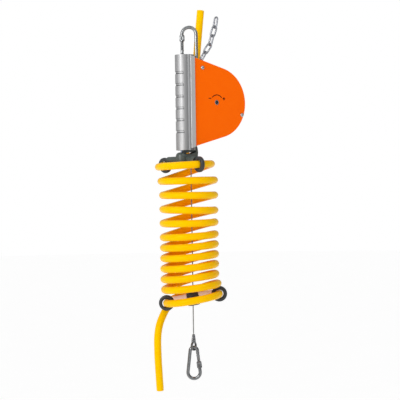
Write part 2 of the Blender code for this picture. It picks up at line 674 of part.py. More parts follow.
def make_upper_bracket():
    hub_low, hub_high, web_clear = -236.0, -221.5, WEB_FACE + 2 * GAP
    clamps = [(angle, coil_point(angle)) for angle in (REAR_CLAMP, FRONT_CLAMP)]
    # the neck is a C around the cable: hub, riser, then a wedge under the sloping housing
    neck = [(-25.0, hub_low), (7.0, hub_low), (9.6, hub_high - 6.0), (10.4, -219.0), (9.6, -212.0),
            (7.6, -206.2), (web_clear, -207.9), (web_clear, NOSE_BOTTOM - GAP),
            (-12.0, NOSE_BOTTOM - GAP),
            (-12.0, -219.8), (5.4, -215.4), (6.4, -217.0), (5.2, -218.8), (-6.0, -222.2),
            (-10.0, hub_high), (-22.0, hub_high), (-25.0, hub_high - 3.0)]
    bm = bmesh.new()
    prism(bm, neck, -8.0, 8.0, XZ_PLANE)
    body = finish("upper_bracket", bm, "bracket_grey")

    hub = bmesh.new()
    boxed(hub, (-22.0, -11.0, hub_low - 0.4), (-2.4, 11.0, hub_high - 2.0))
    boss = [(0, hub_low - 0.4), (9.6, hub_low - 0.4), (10.6, hub_low + 3.0), (10.6, -225.0),
            (9.6, -221.8), (7.2, -219.6), (4.0, -218.8), (0, -218.8)]
    combine(body, finish("bracket_hub", hub, "bracket_grey"), "UNION")
    dome = bmesh.new()
    turned(dome, boss, along((BOSS_X, 0, 0), (0, 0, 1)), 28)
    combine(body, finish("bracket_boss", dome, "bracket_grey"), "UNION")
    for place, (angle, centre) in zip(("rear", "front"), clamps):
        arm = bmesh.new()  # a rounded arm from the hub out to the clamp
        inner = Vector((NOSE_X, 0, -230.8))
        outer = Vector((centre.x, centre.y, -231.4))
        cylinder(arm, 5.4, -2.0, (outer - inner).length - 8.0, along(inner, outer - inner), 20)
        combine(body, finish("bracket_arm_" + place, arm, "bracket_grey"), "UNION")

    cuts = bmesh.new()
    for angle, centre in clamps:
        saddle(cuts, centre, clamp_axis(angle))
    cylinder(cuts, 2.2, -20.0, 20.0, along((0.2, 0, -222.0), (0, 0, 1)), 20)
    combine(body, finish("bracket_cuts", cuts, "bracket_grey"), "DIFFERENCE")

    for name, (angle, centre) in zip(("upper_clamp_rear", "upper_clamp_front"), clamps):
        ring_clamp(name, centre, clamp_axis(angle))

    plug = bmesh.new()  # fixed in the nose's bore, and carries the bracket by its screw
    cylinder(plug, NOSE_BORE - GAP, NOSE_BOTTOM + 1.0, NOSE_BOTTOM + 16.0,
             along((NOSE_X, 0, 0), (0, 0, 1)), 28, 0.8)
    plug = finish("nose_plug", plug, "black_plastic")
    hole = bmesh.new()
    cylinder(hole, 2.4, NOSE_BOTTOM - 25.0, NOSE_BOTTOM + 18.0, along((BOSS_X, 0, 0), (0, 0, 1)), 16)
    hole_tool = finish("bracket_screw_hole", hole, "bracket_grey")
    combine(plug, hole_tool, "DIFFERENCE")
    combine(body, hole_tool, "DIFFERENCE")
    screw = bmesh.new()
    head_top = hub_low - 0.4 - GAP
    turned(screw, [(0, head_top - 2.4), (3.0, head_top - 2.4), (3.8, head_top - 1.2),
                   (3.8, head_top), (2.0, head_top), (2.0, NOSE_BOTTOM + 14.0),
                   (0, NOSE_BOTTOM + 14.0)], along((BOSS_X, 0, 0), (0, 0, 1)), 16)
    finish("bracket_screw", screw, "spring_steel")


def make_lower_bracket():
    middle_z = (RING_LEFT_Z + RING_RIGHT_Z) / 2
    middle = Vector((0, 0, middle_z))
    bar_way = (ACROSS * 2 * RING_ACROSS + Vector((0, 0, RING_RIGHT_Z - RING_LEFT_Z))).normalized()
    bar_up = DEPTH.cross(bar_way) * -1.0
    if bar_up.z < 0:
        bar_up = -bar_up
    frame = axes(middle, bar_way, bar_up, bar_way.cross(bar_up))
    centres = [ACROSS * (side * RING_ACROSS) + Vector((0, 0, z))
               for side, z in ((-1, RING_LEFT_Z), (1, RING_RIGHT_Z))]

    bm = bmesh.new()
    prism(bm, [(-38, BAR_LOW), (38, BAR_LOW), (38, BAR_HIGH), (-38, BAR_HIGH)],
          -BAR_HALF, BAR_HALF, frame)
    bar = finish("lower_bar", bm, "tan_metal")
    cuts = bmesh.new()
    for centre in centres:
        saddle(cuts, centre, DEPTH)
    upright = along(middle, (0, 0, 1))
    cylinder(cuts, CABLE_RADIUS + 0.5, -30.0, 30.0, upright, 16)
    cut_tool = finish("bar_cuts", cuts, "tan_metal")
    combine(bar, cut_tool, "DIFFERENCE")
    holes = bmesh.new()
    for side, reach in (("left", -7.2), ("right", 7.2)):
        place = along(middle + bar_way * reach, bar_up)
        cylinder(holes, 1.8, -30.0, 30.0, place, 12)
        screw = bmesh.new()
        turned(screw, [(0, -12.0), (1.5, -12.0), (1.5, 12.3), (2.8, 12.3), (2.8, 13.6),
                       (2.0, 14.2), (0, 14.2)], place, 12)
        finish("hub_screw_" + side, screw, "zinc")
    hole_tool = finish("hub_screw_holes", holes, "tan_metal")
    combine(bar, hole_tool, "DIFFERENCE")
    hub_frame = along(middle, bar_up)
    slot = bmesh.new()  # the cap straddles the bar
    prism(slot, [(-30, BAR_LOW - 4), (30, BAR_LOW - 4), (30, BAR_HIGH + GAP), (-30, BAR_HIGH + GAP)],
          -BAR_HALF - GAP, BAR_HALF + GAP, frame)
    slot_tool = finish("bar_slot", slot, "black_plastic")
    for name, low, high in (("lower_hub_cap", BAR_LOW + GAP, 12.0),
                            ("lower_hub_base", -12.0, BAR_LOW - GAP)):
        cap = high > 0
        wide_low, wide_high = (12.0, 10.5) if cap else (10.5, 12.0)
        hub = bmesh.new()
        turned(hub, [(0, low), (wide_low, low), (wide_high, high), (0, high)], hub_frame, 28)
        hub = finish(name, hub, "black_plastic")
        if cap:
            combine(hub, slot_tool, "DIFFERENCE")
        combine(hub, cut_tool, "DIFFERENCE")
        combine(hub, hole_tool, "DIFFERENCE")
    for name, centre in zip(("lower_clamp_left", "lower_clamp_right"), centres):
        ring_clamp(name, centre, DEPTH)


# ---------------------------------------------------------------- cable and its end

def make_cable():
    start = Vector((5.56, 0.0, -142.0))
    exit_point = Vector((0.0, 0.0, CABLE_EXIT_Z + GAP / 2))
    cord("cable_lead", [start, exit_point], CABLE_RADIUS, 2, "steel_cable")
    cord("cable_drop", [(0, 0, CABLE_EXIT_Z - GAP / 2), (0, 0, CABLE_END_Z)], CABLE_RADIUS, 2,
         "steel_cable")


def make_thimble():
    """A grooved steel loop at the cable's end, with the ferrule that closes the cable round it."""
    turn = math.radians(60)
    wide = ACROSS * math.cos(turn) + DEPTH * math.sin(turn)
    flat = wide.cross(Vector((0, 0, 1)))
    frame = axes((0, 0, 0), wide, (0, 0, 1), wide.cross(Vector((0, 0, 1))))
    bend, centre_z, tip_z, wire = 6.8, -563.9, -553.8, 1.3
    reach = centre_z - tip_z
    lean = math.acos(bend / -reach)
    loop = arc((0, centre_z), bend, math.pi / 2 + lean, 2 * math.pi + math.pi / 2 - lean, 20)
    loop = loop[:] + [(0.0, tip_z)]
    bm = bmesh.new()
    swept(bm, [frame @ Vector((x, z, 0)) for x, z in loop], wire, flat, 8, closed=True)
    finish("thimble", bm, "hook_zinc", sharp=60.0)

    ferrule = bmesh.new()
    top, low = CABLE_END_Z + 5.0, -551.8
    sizes = [(top, 2.6, 2.2), (top - 1.2, 3.7, 2.7), (low + 1.6, 4.9, 3.1), (low, 4.2, 2.7)]
    rings = []
    for z, half_wide, half_thick in sizes:
        angles = (2 * math.pi * i / 20 for i in range(20))
        rings.append([ferrule.verts.new(frame @ Vector((half_wide * math.cos(a), z,
                                                        half_thick * math.sin(a))))
                      for a in angles])
    for ring, after in zip(rings, rings[1:]):
        for i in range(20):
            j = (i + 1) % 20
            ferrule.faces.new([ring[i], ring[j], after[j], after[i]])
    ferrule.faces.new(rings[0][::-1])
    ferrule.faces.new(rings[-1])
    body = finish("cable_ferrule", ferrule, "hook_zinc")
    bore = bmesh.new()
    cylinder(bore, CABLE_RADIUS + GAP, CABLE_END_Z - GAP, top + 5.0, along((0, 0, 0), (0, 0, 1)), 16)
    combine(body, finish("ferrule_bore", bore, "hook_zinc"), "DIFFERENCE")


# ---------------------------------------------------------------- build

clear_scene()
MATERIALS = {
    "orange": material("orange", (0.95, 0.15, 0.004), 0.35),
    "aluminium": material("aluminium", (0.62, 0.62, 0.63), 0.35, 1.0),
    "zinc": material("zinc", (0.55, 0.56, 0.57), 0.32, 1.0),
    "hook_zinc": material("hook_zinc", (0.5, 0.51, 0.52), 0.28, 1.0),
    "chain_zinc": material("chain_zinc", (0.5, 0.5, 0.5), 0.3, 1.0),
    "spring_steel": material("spring_steel", (0.3, 0.32, 0.36), 0.3, 1.0),
    "steel_cable": material("steel_cable", (0.4, 0.4, 0.38), 0.4, 1.0),
    "black_plastic": material("black_plastic", (0.02, 0.021, 0.022), 0.4),
    "bracket_grey": material("bracket_grey", (0.05, 0.06, 0.055), 0.5),
    "tan_metal": material("tan_metal", (0.45, 0.36, 0.22), 0.35, 1.0),
    "hose_yellow": material("hose_yellow", (1.0, 0.6, 0.0), 0.25),
}

make_extrusion()
make_plate("front_cover_plate", -PLATE_FACE)
make_plate("rear_cover_plate", PLATE_FACE - PLATE_THICK)
make_band()
make_bolts()
make_drum()
make_adjuster()
make_chain()
make_hose()
make_upper_bracket()
make_lower_bracket()
make_cable()
make_thimble()

TOP_BEND = 12.5
make_hook("top", Outline(TOP_BEND, ROD - TOP_BEND, TOP_BEND, -48.5, -1), 0.6, 5.5, 0.5, 10.9)
TOOL_CROWN, TOOL_FOOT = 6.5, 10.9  # bend radii of the tool hook, whose gate opens at the foot
make_hook("tool", Outline(TOOL_FOOT, -610.9, TOOL_CROWN, -572.5, 1), 5.8, 4.5, 0.5, 11.5)
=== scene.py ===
"""The looks of a spring balancer with a spiral air hose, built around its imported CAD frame.

Lengths are metres in the frame's own axes: the origin is where the top hook hangs on its support,
the steel cable hangs straight below it, and the cover plates lie parallel to XZ.
"""

import json
import math

import bmesh
import bpy
import numpy as np
from mathutils import Matrix, Vector


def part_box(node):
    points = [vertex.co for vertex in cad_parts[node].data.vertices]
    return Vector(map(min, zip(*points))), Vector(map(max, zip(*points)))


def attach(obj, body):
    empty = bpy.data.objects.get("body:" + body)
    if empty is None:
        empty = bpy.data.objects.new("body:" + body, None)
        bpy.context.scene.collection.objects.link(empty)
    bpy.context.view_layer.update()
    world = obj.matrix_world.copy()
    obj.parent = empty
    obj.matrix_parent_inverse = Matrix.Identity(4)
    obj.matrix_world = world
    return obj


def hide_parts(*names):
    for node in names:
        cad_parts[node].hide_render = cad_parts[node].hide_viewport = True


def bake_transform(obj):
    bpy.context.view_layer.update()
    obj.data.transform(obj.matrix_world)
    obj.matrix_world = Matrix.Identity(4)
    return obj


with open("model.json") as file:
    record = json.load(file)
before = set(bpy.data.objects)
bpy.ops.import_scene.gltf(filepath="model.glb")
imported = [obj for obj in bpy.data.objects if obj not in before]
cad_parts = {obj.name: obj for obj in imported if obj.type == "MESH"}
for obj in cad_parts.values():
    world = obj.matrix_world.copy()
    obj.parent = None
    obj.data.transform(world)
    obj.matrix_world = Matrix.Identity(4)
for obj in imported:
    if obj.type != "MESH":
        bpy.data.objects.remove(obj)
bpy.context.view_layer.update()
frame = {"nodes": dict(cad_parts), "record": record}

NODES = frame["nodes"]
BODY_OF = {node: body for body, nodes in frame["record"]["behaviour"]["bodies"].items()
           for node in nodes}
SLOT_OF = {part["node"]: part["material_slot"] for part in frame["record"]["subparts"]}

UP = Vector((0, 0, 1))
VIEW_TURN = math.radians(-35)  # both hooks and the lower bar lie across this view
ACROSS = Vector((math.cos(VIEW_TURN), math.sin(VIEW_TURN), 0.0))
DEPTH = Vector((-math.sin(VIEW_TURN), math.cos(VIEW_TURN), 0.0))
GAP = 0.0003  # between touching pieces


# ---------------------------------------------------------------- camera

CAMERA_AIM = ACROSS * 0.0151 + UP * -0.3036
CAMERA_BACK, CAMERA_RISE = 2.0, 0.034
CAMERA_ROLL = math.radians(-0.87)
CAMERA_LENS, CAMERA_SENSOR = 101.2, 36.0
CAMERA_CLIP = 0.01, 100.0


def make_camera():
    data = bpy.data.cameras.new("camera")
    data.lens, data.sensor_width = CAMERA_LENS, CAMERA_SENSOR
    data.clip_start, data.clip_end = CAMERA_CLIP
    camera = bpy.data.objects.new("camera", data)
    camera.location = CAMERA_AIM - DEPTH * CAMERA_BACK + UP * CAMERA_RISE
    camera.rotation_mode = "QUATERNION"
    look = (CAMERA_AIM - camera.location).to_track_quat("-Z", "Y")
    camera.rotation_quaternion = look @ Matrix.Rotation(CAMERA_ROLL, 3, "Z").to_quaternion()
    bpy.context.scene.collection.objects.link(camera)
    bpy.context.scene.camera = camera


# ---------------------------------------------------------------- materials

class Look:
    """A material under construction: a Principled shader fed by procedural grain."""

    def __init__(self, name, colour, roughness, metallic=0.0, sheen=None):
        """sheen is the level and the colour of the highlights on paint and plastic."""
        self.material = bpy.data.materials.new(name)
        self.material.use_nodes = True
        self.tree = self.material.node_tree
        self.shader = self.tree.nodes["Principled BSDF"]
        self.shader.inputs["Metallic"].default_value = metallic
        if sheen:
            level, tint = sheen
            self.shader.inputs["Specular IOR Level"].default_value = level
            self.shader.inputs["Specular Tint"].default_value = (*tint, 1.0)
        self.colour, self.roughness = colour, roughness
        self.place = self.add("ShaderNodeTexCoord").outputs["Object"]
        self.tint = None
        self.gloss = None
        self.relief = None

    def add(self, kind, **values):
        node = self.tree.nodes.new(kind)
        for key, value in values.items():
            setattr(node, key, value)
        return node

    def join(self, source, target):
        self.tree.links.new(source, target)

    def noise(self, size, stretch=(1, 1, 1), detail=3.0, place=None):
        """Noise whose features are about size metres; a stretch under 1 draws them out that way."""
        mapping = self.add("ShaderNodeMapping")
        mapping.inputs["Scale"].default_value = stretch
        self.join(place or self.place, mapping.inputs["Vector"])
        texture = self.add("ShaderNodeTexNoise")
        texture.inputs["Scale"].default_value = 1.0 / size
        texture.inputs["Detail"].default_value = detail
        self.join(mapping.outputs["Vector"], texture.inputs["Vector"])
        return texture.outputs["Fac"]

    def ranged(self, source, low, high, from_low=0.3, from_high=0.7):
        node = self.add("ShaderNodeMapRange")
        for key, value in (("From Min", from_low), ("From Max", from_high),
                           ("To Min", low), ("To Max", high)):
            node.inputs[key].default_value = value
        self.join(source, node.inputs["Value"])
        return node.outputs["Result"]

    def stain(self, source, colour, strength, from_low=0.3, from_high=0.7):
        """Mixes a second colour in where the noise is high."""
        mix = self.add("ShaderNodeMix", data_type="RGBA")
        self.join(self.ranged(source, 0.0, strength, from_low, from_high), mix.inputs["Factor"])
        if self.tint:
            self.join(self.tint, mix.inputs["A"])
        else:
            mix.inputs["A"].default_value = (*self.colour, 1.0)
        mix.inputs["B"].default_value = (*colour, 1.0)
        self.tint = mix.outputs["Result"]
        return self

    def dull(self, source, low, high):
        """Lets the roughness wander between low and high."""
        self.gloss = self.ranged(source, low, high)
        return self

    def raise_by(self, source, height, strength=0.5):
        """Adds relief of about that height in metres."""
        bump = self.add("ShaderNodeBump")
        bump.inputs["Distance"].default_value = height
        bump.inputs["Strength"].default_value = strength
        self.join(source, bump.inputs["Height"])
        if self.relief:
            self.join(self.relief, bump.inputs["Normal"])
        self.relief = bump.outputs["Normal"]
        return self

    def done(self):
        inputs = self.shader.inputs
        inputs["Base Color"].default_value = (*self.colour, 1.0)
        inputs["Roughness"].default_value = self.roughness
        for source, key in ((self.tint, "Base Color"), (self.gloss, "Roughness"),
                            (self.relief, "Normal")):
            if source:
                self.join(source, inputs[key])
        return self.material


def orange_coat():
    """Powder coat: even colour, a soft orange-peel surface."""
    look = Look("orange_powder_coat", (0.98, 0.132, 0.0005), 0.40, sheen=(0.25, (1.0, 0.3, 0.02)))
    look.stain(look.noise(0.018), (1.0, 0.150, 0.001), 0.5)
    look.stain(look.noise(0.0022), (0.88, 0.105, 0.0005), 0.16)
    look.dull(look.noise(0.006), 0.30, 0.46)
    return look.raise_by(look.noise(0.0011, detail=1.0), 0.00006, 0.35).done()


# where the painted shade on the extrusion's hollow sides and the painted highlight on its flange
# edges start, as distances from its middle plane
SHADED_HOLLOW_SIDES, FLANGE_HIGHLIGHT_EDGES = (0.0125, 0.0150), (0.0208, 0.0216)
CORNER_SHADE_REACH = 0.014


def aluminium():
    """Satin anodised extrusion with fine die lines along Z, painted shade in its corners and on its
    hollow sides, and a painted highlight on its flange edges.
    """
    look = Look("anodised_aluminium", (0.42, 0.42, 0.425), 0.55, metallic=0.9)
    lines = look.noise(0.0007, stretch=(1, 1, 0.012), detail=5.0)
    look.stain(lines, (0.52, 0.515, 0.51), 0.6)
    look.stain(look.noise(0.03, stretch=(1, 1, 0.4)), (0.36, 0.365, 0.38), 0.25)
    # painted shade: the colour darkens where ambient occlusion finds corners and grooves
    corner = look.add("ShaderNodeAmbientOcclusion", samples=12)
    corner.inputs["Distance"].default_value = CORNER_SHADE_REACH
    look.stain(corner.outputs["AO"], (0.07, 0.075, 0.078), 0.9, 0.92, 0.45)
    across = look.add("ShaderNodeSeparateXYZ")
    side = look.add("ShaderNodeMath", operation="ABSOLUTE")
    look.join(look.place, across.inputs["Vector"])
    look.join(across.outputs["Y"], side.inputs[0])
    # painted shade on the hollow sides, by distance from the middle plane
    look.stain(side.outputs["Value"], (0.16, 0.165, 0.17), 0.6, *SHADED_HOLLOW_SIDES)
    # painted highlight along the flange edges
    look.stain(side.outputs["Value"], (0.60, 0.60, 0.60), 0.85, *FLANGE_HIGHLIGHT_EDGES)
    look.dull(look.noise(0.002, stretch=(1, 1, 0.05)), 0.48, 0.62)
    return look.raise_by(lines, 0.00005, 0.3).done()


def plated(name, colour, dark, rough=(0.2, 0.36), grain=0.0016):
    """Zinc plating on steel: bright, slightly cloudy, with darker spots and fine scratches."""
    look = Look(name, colour, rough[0], metallic=1.0)
    look.stain(look.noise(grain * 4), dark, 0.35)
    look.stain(look.noise(grain, detail=5.0), dark, 0.55, 0.52, 0.75)
    look.dull(look.noise(grain * 2), *rough)
    return look.raise_by(look.noise(grain * 0.4, stretch=(1, 1, 0.3)), 0.00004, 0.3).done()


def moulded(name, colour, pale, rough=(0.34, 0.52), grain=0.0006):
    """Moulded plastic with a fine spark texture and paler rubbed places."""
    look = Look(name, colour, rough[0])
    look.stain(look.noise(0.009, detail=4.0), pale, 0.5)
    look.dull(look.noise(0.004), *rough)
    return look.raise_by(look.noise(grain, detail=2.0), 0.00007, 0.5).done()


def hose_yellow():
    """Polyurethane tube: glossy, slightly translucent, with faint extrusion lines along it."""
    look = Look("hose_polyurethane", (0.94, 0.53, 0.0), 0.24, sheen=(0.12, (1.0, 0.85, 0.08)))
    inputs = look.shader.inputs
    way = look.add("ShaderNodeAttribute", attribute_name="hose_way").outputs["Vector"]
    look.stain(look.noise(0.03, place=way), (0.92, 0.44, 0.0), 0.5)
    look.stain(look.noise(0.0016, stretch=(0.02, 1, 1), place=way), (0.98, 0.58, 0.003), 0.35)
    # painted shade: sides facing the coil's inside are mixed towards deeper orange
    inner = look.add("ShaderNodeAttribute", attribute_name="hose_painted_shade").outputs["Fac"]
    look.stain(inner, (1.0, 0.35, 0.0), 0.8, 0.25, 0.85)
    look.dull(look.noise(0.012, place=way), 0.18, 0.32)
    inputs["Subsurface Weight"].default_value = 0.12
    inputs["Subsurface Radius"].default_value = (1.0, 0.4, 0.05)
    inputs["Subsurface Scale"].default_value = 0.003
    fine = look.noise(0.0012, stretch=(0.03, 1, 1), place=way)
    return look.raise_by(fine, 0.00004, 0.3).done()


def wire_rope():
    """Galvanised strands with dark grease between them."""
    look = Look("steel_wire", (0.34, 0.34, 0.32), 0.36, metallic=1.0)
    look.stain(look.noise(0.0006, stretch=(1, 1, 0.2)), (0.12, 0.12, 0.11), 0.7)
    look.dull(look.noise(0.0009), 0.28, 0.5)
    return look.raise_by(look.noise(0.0003), 0.00002, 0.4).done()


def mark_paint():
    """Dark printed marks, thin enough for the coat to show in places."""
    look = Look("mark_paint", (0.012, 0.004, 0.002), 0.6, sheen=(0.15, (1.0, 0.6, 0.4)))
    look.stain(look.noise(0.0008, detail=4.0), (0.12, 0.015, 0.002), 0.3, 0.55, 0.8)
    return look.raise_by(look.noise(0.0004), 0.00003, 0.4).done()


def make_materials():
    zinc, shade = (0.50, 0.51, 0.52), (0.20, 0.21, 0.22)
    return {
        "orange": orange_coat(),
        "aluminium": aluminium(),
        "zinc": plated("bolt_zinc", zinc, shade),
        "hook_zinc": plated("hook_zinc_plate", (0.34, 0.35, 0.355), (0.10, 0.11, 0.115)),
        "tool_zinc": plated("tool_zinc_plate", (0.25, 0.255, 0.26), (0.05, 0.055, 0.06),
                            (0.15, 0.27)),
        "chain_zinc": plated("chain_zinc_plate", (0.36, 0.37, 0.40), (0.13, 0.14, 0.16),
                             (0.24, 0.42)),
        "spring_steel": plated("blued_spring_steel", (0.24, 0.27, 0.34), (0.10, 0.11, 0.16)),
        "steel_cable": wire_rope(),
        "black_plastic": moulded("black_moulding", (0.018, 0.020, 0.022), (0.045, 0.05, 0.053)),
        "bracket_grey": moulded("bracket_moulding", (0.055, 0.070, 0.064), (0.10, 0.125, 0.115),
                                (0.30, 0.48), 0.0009),
        "tan_metal": plated("bar_nickel_plate", (0.90, 0.80, 0.72), (0.78, 0.66, 0.55),
                            (0.42, 0.56)),
        "hose_yellow": hose_yellow(),
        "marks": mark_paint(),
    }


# ---------------------------------------------------------------- mesh helpers

def piece(name, bm, look, body, stands_for=(), sharp=40.0):
    """Makes a shown piece that rides on a body and stands for CAD nodes."""
    bmesh.ops.recalc_face_normals(bm, faces=bm.faces)
    mesh = bpy.data.meshes.new(name)
    bm.to_mesh(mesh)
    bm.free()
    shade(mesh, sharp)
    mesh.materials.append(MATERIALS[look])
    obj = bpy.data.objects.new(name, mesh)
    bpy.context.scene.collection.objects.link(obj)
    if body:
        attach(obj, body)
    if stands_for:
        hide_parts(*stands_for)
    return obj


def shade(mesh, sharp):
    mesh.shade_smooth()
    mesh.set_sharp_from_angle(angle=math.radians(sharp))


def finished(node, edge, segments=2, sharp=32.0):
    """A finished copy of a CAD node: its triangles joined into faces, and its edges rounded."""
    bm = bmesh.new()
    bm.from_mesh(NODES[node].data)
    bmesh.ops.remove_doubles(bm, verts=bm.verts, dist=1e-6)
    bmesh.ops.dissolve_limit(bm, angle_limit=math.radians(1.0), verts=bm.verts, edges=bm.edges)
    obj = piece(node + "_finished", bm, SLOT_OF[node], BODY_OF[node], [node], sharp)
    if edge:
        soften(obj, edge, segments, sharp)
    return obj


def soften(obj, edge, segments=2, sharp=32.0):
    """Rounds the edges."""
    bevel = obj.modifiers.new("Bevel", "BEVEL")
    bevel.width, bevel.segments = edge, segments
    bevel.limit_method, bevel.angle_limit = "ANGLE", math.radians(sharp)
    bevel.miter_outer = "MITER_ARC"
    weighted = obj.modifiers.new("Weighted normals", "WEIGHTED_NORMAL")
    weighted.keep_sharp = False


def carved(obj, tool, operation="DIFFERENCE", sharp=40.0):
    """Cuts a mesh tool out of obj, or joins it on, for good."""
    bmesh.ops.recalc_face_normals(tool, faces=tool.faces)
    mesh = bpy.data.meshes.new("tool")
    tool.to_mesh(mesh)
    tool.free()
    cutter = bpy.data.objects.new("tool", mesh)
    bpy.context.scene.collection.objects.link(cutter)
    modifier = obj.modifiers.new("Cut", "BOOLEAN")
    modifier.operation, modifier.solver, modifier.object = operation, "EXACT", cutter
    bpy.context.view_layer.update()
    evaluated = obj.evaluated_get(bpy.context.evaluated_depsgraph_get())
    result = bpy.data.meshes.new_from_object(evaluated)
    obj.modifiers.clear()
    obj.data = result
    shade(result, sharp)
    bpy.data.objects.remove(cutter, do_unlink=True)


def measured(node):
    """A CAD node's centre, its own axes from the longest way to the shortest, and half sizes."""
    points = np.array([v.co for v in NODES[node].data.vertices], float)
    points = np.unique(points.round(6), axis=0)
    middle = points.mean(0)
    ways = np.linalg.eigh(np.cov((points - middle).T))[1][:, ::-1].T
    spread = (points - middle) @ ways.T
    low, high = spread.min(0), spread.max(0)
    centre = middle + ((low + high) / 2) @ ways
    return Vector(centre), [Vector(way) for way in ways], [float(v) for v in (high - low) / 2]


def axes(origin, x, y, z):
    columns = [Vector(v).normalized() for v in (x, y, z)]
    turn = Matrix([[c[i] for c in columns] for i in range(3)]).to_4x4()
    return Matrix.Translation(Vector(origin)) @ turn


def along(origin, direction):
    """A frame at origin whose Z points along direction."""
    turn = Vector(direction).to_track_quat("Z", "Y").to_matrix().to_4x4()
    return Matrix.Translation(Vector(origin)) @ turn


def skin(bm, rings, closed=False):
    """Faces between rings of equally many points; the ends are capped unless it is closed."""
    rows = [[bm.verts.new(point) for point in ring] for ring in rings]
    for row, after in list(zip(rows, rows[1:])) + ([(rows[-1], rows[0])] if closed else []):
        for i in range(len(row)):
            j = (i + 1) % len(row)
            bm.faces.new((row[i], row[j], after[j], after[i]))
    if not closed:
        bm.faces.new(rows[0][::-1])
        bm.faces.new(rows[-1])


def circle(radius, sides):
    return [(radius * math.cos(2 * math.pi * k / sides), radius * math.sin(2 * math.pi * k / sides))
            for k in range(sides)]


def arc(centre, radius, start, end, steps):
    span = (end - start) / steps
    return [(centre[0] + radius * math.cos(start + span * i),
             centre[1] + radius * math.sin(start + span * i)) for i in range(steps + 1)]


def prism(bm, outline, low, high, place):
    """An outline in a frame's XY, from low to high along its Z."""
    skin(bm, [[place @ Vector((x, y, z)) for x, y in outline] for z in (low, high)])


def swept(path, section, side, closed=False, swell=None):
    """Rings of a section carried along a path in a plane whose normal is side."""
    rings, count = [], len(path)
    for i, point in enumerate(path):
        before = path[i - 1] if i or closed else point
        after = path[(i + 1) % count] if closed or i < count - 1 else point
        normal = (after - before).normalized().cross(side).normalized()
        size = swell(i) if swell else 1.0
        rings.append([point + size * (n * normal + b * side) for n, b in section])
    return rings


def turned(bm, stations, place, steps, closed=False):
    """A surface about a frame's Z from (height, radius), where radius may depend on the angle."""
    rings = []
    for height, radius in stations:
        ring = []
        for k in range(steps):
            angle = 2 * math.pi * k / steps
            r = radius(angle) if callable(radius) else radius
            ring.append(place @ Vector((r * math.cos(angle), r * math.sin(angle), height)))
        rings.append(ring)
    skin(bm, rings, closed)


def crossings(path):
    """For each point of a path, two unit vectors across it that twist as little as they can."""
    found, last = [], len(path) - 1
    normal = (path[1] - path[0]).orthogonal()
    for i in range(len(path)):
        way = (path[min(i + 1, last)] - path[max(i - 1, 0)]).normalized()
        normal = (normal - way * normal.dot(way)).normalized()
        found.append((normal, way.cross(normal)))
    return found


def tube_rings(path, radius, sides):
    return [[point + n * x + b * y for x, y in circle(radius, sides)]
            for point, (n, b) in zip(path, crossings(path))]


def smooth_route(points, step):
    """Points about step apart on a smooth curve through all the route's points."""
    points = [Vector(p) for p in points]
    ends = [2 * points[0] - points[1], *points, 2 * points[-1] - points[-2]]
    found = []
    for a, b, c, d in zip(ends, ends[1:], ends[2:], ends[3:]):
        pieces = max(1, round((c - b).length / step))
        for i in range(pieces):
            t = i / pieces
            found.append(0.5 * (2 * b + (c - a) * t + (2 * a - 5 * b + 4 * c - d) * t * t
                                + (3 * b - a - 3 * c + d) * t ** 3))
    return found + [points[-1]]


def lengths_along(path):
    total = [0.0]
    for a, b in zip(path, path[1:]):
        total.append(total[-1] + (b - a).length)
    return total


# ---------------------------------------------------------------- hose

HOSE_RADIUS, HOSE_BORE = 0.0065, 0.0043
HOSE_SIDES, HOSE_STEP = 24, 0.0065
COIL_TURNS, COIL_RADIUS = 12, 0.046
COIL_LEFT = math.radians(145)  # the side of the coil towards -ACROSS
COIL_SHIFT = -0.013  # of the first turn, which hangs under the grip nose
COIL_MIDDLE = -0.006  # of the turns below it
SHIFT_START, SHIFT_TURNS = 0.6, 1.8  # turns before the first shift fades, and over which it does
CLAMP_Z = -0.2403
REAR_CLAMP, FRONT_CLAMP = math.radians(105), math.radians(268)
RING_ACROSS, RING_LEFT_Z, RING_RIGHT_Z = 0.0469, -0.486, -0.471
CLEAR_ANGLE = math.radians(12)  # the hose keeps straight this far past a clamp
COIL_LOW = -0.492  # below it the hose is the tail
END_CHAMFER, END_STEP = 0.0003, 0.0004  # of the cut end's rim
BORE_POINTS = 5  # how many route points deep the open end is

INLET_ROUTE = [(0.0452, 0.0275, 0.0394), (0.0393, 0.0274, -0.008), (0.0346, 0.0276, -0.050),
               (0.0300, 0.0290, -0.098), (0.0255, 0.0315, -0.145), (0.0200, 0.0338, -0.186),
               (0.0148, 0.0348, -0.214), (0.0066, 0.0394, -0.2276), (-0.0103, 0.0464, -0.2370)]
# the tail's points are given across, in depth and in Z
TAIL_ROUTE = [(0.0360, 0.0300, -0.4730), (0.0140, 0.0448, -0.4774), (-0.0120, 0.0453, -0.4826),
              (-0.0330, 0.0330, -0.4886), (-0.0450, 0.0185, -0.4950), (-0.0520, 0.0105, -0.505),
              (-0.0590, 0.0010, -0.5205), (-0.0624, -0.006, -0.535), (-0.0638, -0.009, -0.550),
              (-0.0638, -0.009, -0.569), (-0.0633, -0.007, -0.591), (-0.0623, -0.004, -0.613),
              (-0.0610, -0.001, -0.642)]


def coil_side_heights():
    """Z of the hose's centre line where each turn passes the left and then the right side."""
    heights = [(-0.2440, -0.2398)]
    left, right = -0.2693, -0.2685
    for turn in range(1, COIL_TURNS - 1):
        heights.append((left, right))
        left -= 0.0249 if turn < 5 else 0.0186
        right -= 0.0266 if turn < 3 else 0.0213 if turn < 5 else 0.0176
    return heights + [(RING_LEFT_Z, RING_RIGHT_Z)]


